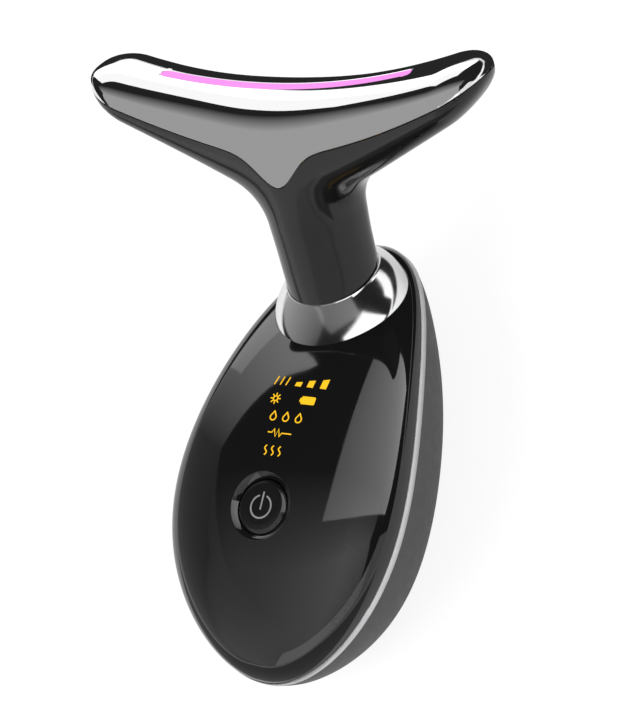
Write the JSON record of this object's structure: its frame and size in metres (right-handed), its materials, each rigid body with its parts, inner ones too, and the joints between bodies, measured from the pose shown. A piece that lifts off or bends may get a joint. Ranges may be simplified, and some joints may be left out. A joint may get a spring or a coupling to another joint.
{
  "type": "facial toning device",
  "caption": "Handheld facial toner: horn-shaped chrome treatment head with a light strip on an angled neck, rounded handle with a lit display and push button.",
  "frame": {"origin": "centre of the small flat on the back of the handle, which the device lies on", "axes": "+Z out of the front face with the button and display, +Y along the handle to the head, +X to the right"},
  "size_m": [0.0836, 0.1081, 0.0633],
  "materials": {
    "front_gloss": "piano gloss over a dark lens",
    "back_satin": "fine satin texture",
    "trim_silver": "fine brushed, anodised",
    "chrome": "mirror plated",
    "neck_satin": "smooth satin",
    "window_pink": "frosted, lit from behind",
    "button_black": "soft gloss with a printed symbol",
    "bezel_black": "gloss",
    "guide_white": "moulded, light diffusing",
    "board_green": "solder mask",
    "chip_black": "moulded epoxy",
    "led_amber": "amber lens, lit",
    "led_white": "phosphor lens",
    "screw_steel": "zinc plated",
    "socket_steel": "drawn, bright",
    "motor_steel": "drawn, bright",
    "weight_metal": "sintered",
    "saddle_rubber": "moulded",
    "pouch_foil": "laminated foil",
    "pad_foam": "closed-cell foam",
    "nut_black": "glass-filled nylon",
    "film_amber": "polyimide film",
    "lead_red": "wire insulation",
    "lead_black": "wire insulation",
    "lead_blue": "wire insulation",
    "sleeve_grey": "braided sleeve"
  },
  "bodies": {
    "casing": {"front_shell": "front_gloss", "back_shell": "back_satin", "trim_band": "trim_silver", "button_bezel": "bezel_black", "tact_switch": "chip_black", "main_board": "board_green", "board_components": "chip_black", "board_screws": "screw_steel", "display_leds": "led_amber", "display_light_guide": "guide_white", "battery": "pouch_foil", "battery_pad": "pad_foam", "ballast_weight": "weight_metal", "charge_board": "board_green", "charge_board_screws": "screw_steel", "charge_socket": "socket_steel", "motor_can": "motor_steel", "motor_cradle": "saddle_rubber", "chrome_collar": "chrome", "neck_nut": "nut_black", "head_body": "neck_satin", "treatment_plate": "chrome", "led_window": "window_pink", "led_board": "board_green", "led_chips": "led_white", "heater_film": "film_amber", "battery_leads": "lead_red", "motor_leads": "lead_blue", "charge_leads": "lead_black", "head_harness": "sleeve_grey"},
    "button": {"power_button": "button_black"},
    "switch": {"switch_plunger": "guide_white"},
    "motor_rotor": {"motor_shaft": "screw_steel", "motor_weight": "weight_metal"}
  },
  "joints": [
    {"name": "button_press", "type": "slide", "parent": "casing", "child": "button", "axis": [0, 0, -1], "range_m": [0, 0.00035], "stiffness_N_per_m": 1500, "springref_m": -0.0003},
    {"name": "plunger_press", "type": "slide", "parent": "casing", "child": "switch", "axis": [0, 0, -1], "range_m": [0, 0.00035]},
    {"name": "motor_spin", "type": "hinge", "parent": "casing", "child": "motor_rotor", "pos_m": [0, 0.0195, 0.0106], "axis": [1, 0, 0], "continuous": true}
  ],
  "couplings": [
    {"joint": "plunger_press", "follows": "button_press", "ratio": 1}
  ]
}
